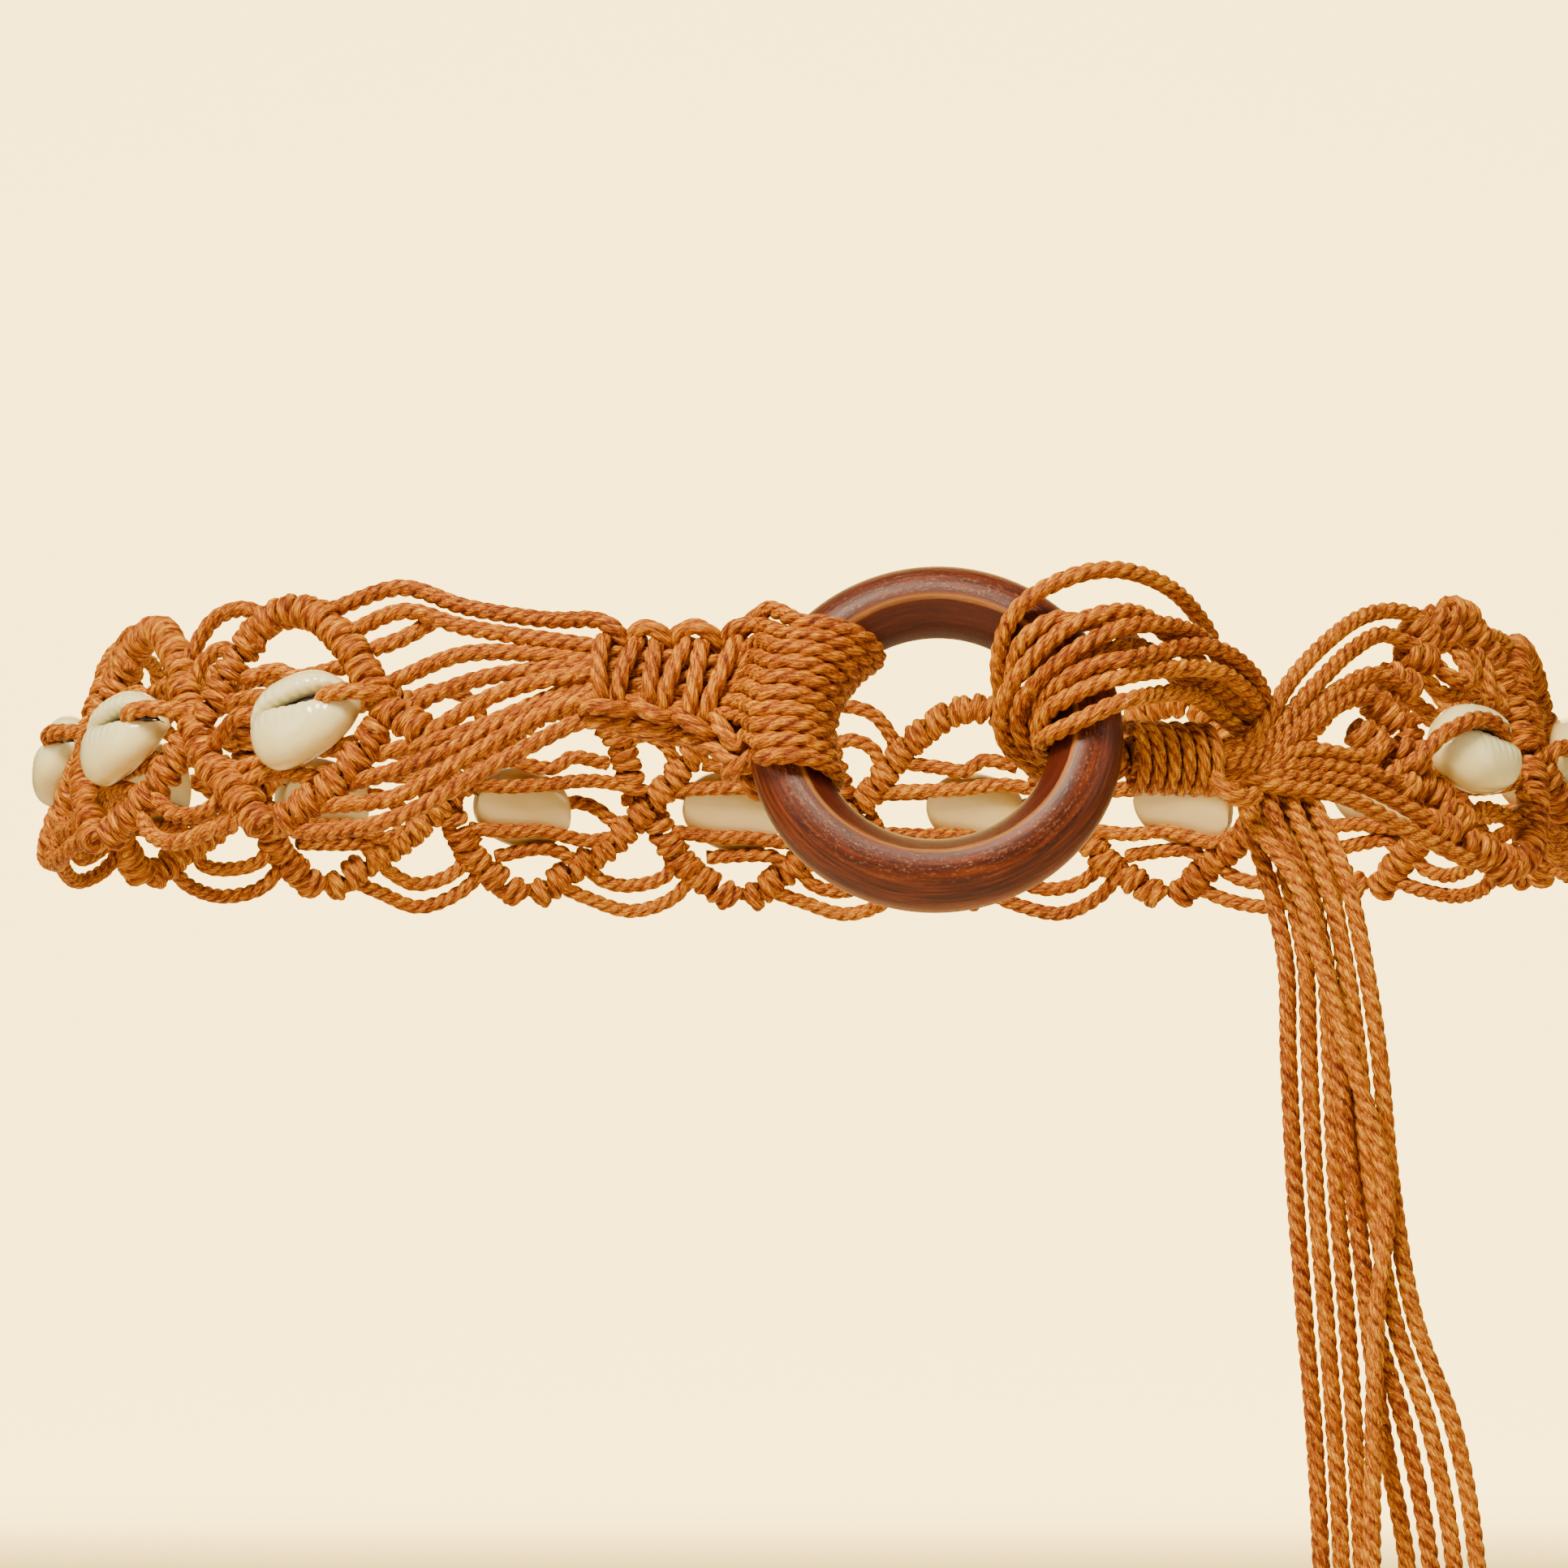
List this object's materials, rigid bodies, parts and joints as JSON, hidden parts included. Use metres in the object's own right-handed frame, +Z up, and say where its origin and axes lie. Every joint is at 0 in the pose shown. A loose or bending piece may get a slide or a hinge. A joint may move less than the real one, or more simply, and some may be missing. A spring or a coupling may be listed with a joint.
{
  "type": "rope belt",
  "caption": "Knotted cord belt of linked diamonds with cowrie shells, closed round the waist at a wooden ring in front, with its cord ends hanging loose.",
  "frame": {"origin": "middle of the waist hollow, level with the band's centre line in front", "axes": "+X to the side where the loose ends hang, -Y to the front where the ring is, +Z up"},
  "size_m": [0.3032, 0.2422, 0.2],
  "materials": {
    "cord": "waxed, dull sheen",
    "wood": "stained and worn, satin",
    "shell": "natural gloss"
  },
  "bodies": {
    "root": {"wood_ring": "wood", "ring_wrap": "cord", "knotted_neck": "cord", "right_fan": "cord", "coil_wrap": "cord", "tie_band": "cord", "high_tie": "cord", "gathered_ends": "cord", "diamond_01": "cord", "diamond_02": "cord", "diamond_03": "cord", "diamond_04": "cord", "diamond_05": "cord", "diamond_06": "cord", "diamond_07": "cord", "diamond_08": "cord", "diamond_09": "cord", "diamond_10": "cord", "diamond_11": "cord", "diamond_12": "cord", "diamond_13": "cord", "hanging_cord_1": "cord", "hanging_cord_2": "cord", "hanging_cord_3": "cord", "hanging_cord_4": "cord", "hanging_cord_5": "cord", "hanging_cord_6": "cord", "hanging_cord_7": "cord", "hanging_cord_8": "cord", "cowrie_01": "shell", "cowrie_02": "shell", "cowrie_03": "shell", "cowrie_04": "shell", "cowrie_05": "shell", "cowrie_06": "shell", "cowrie_07": "shell", "cowrie_08": "shell", "cowrie_09": "shell", "cowrie_10": "shell", "cowrie_11": "shell", "cowrie_12": "shell", "cowrie_13": "shell"}
  },
  "joints": []
}
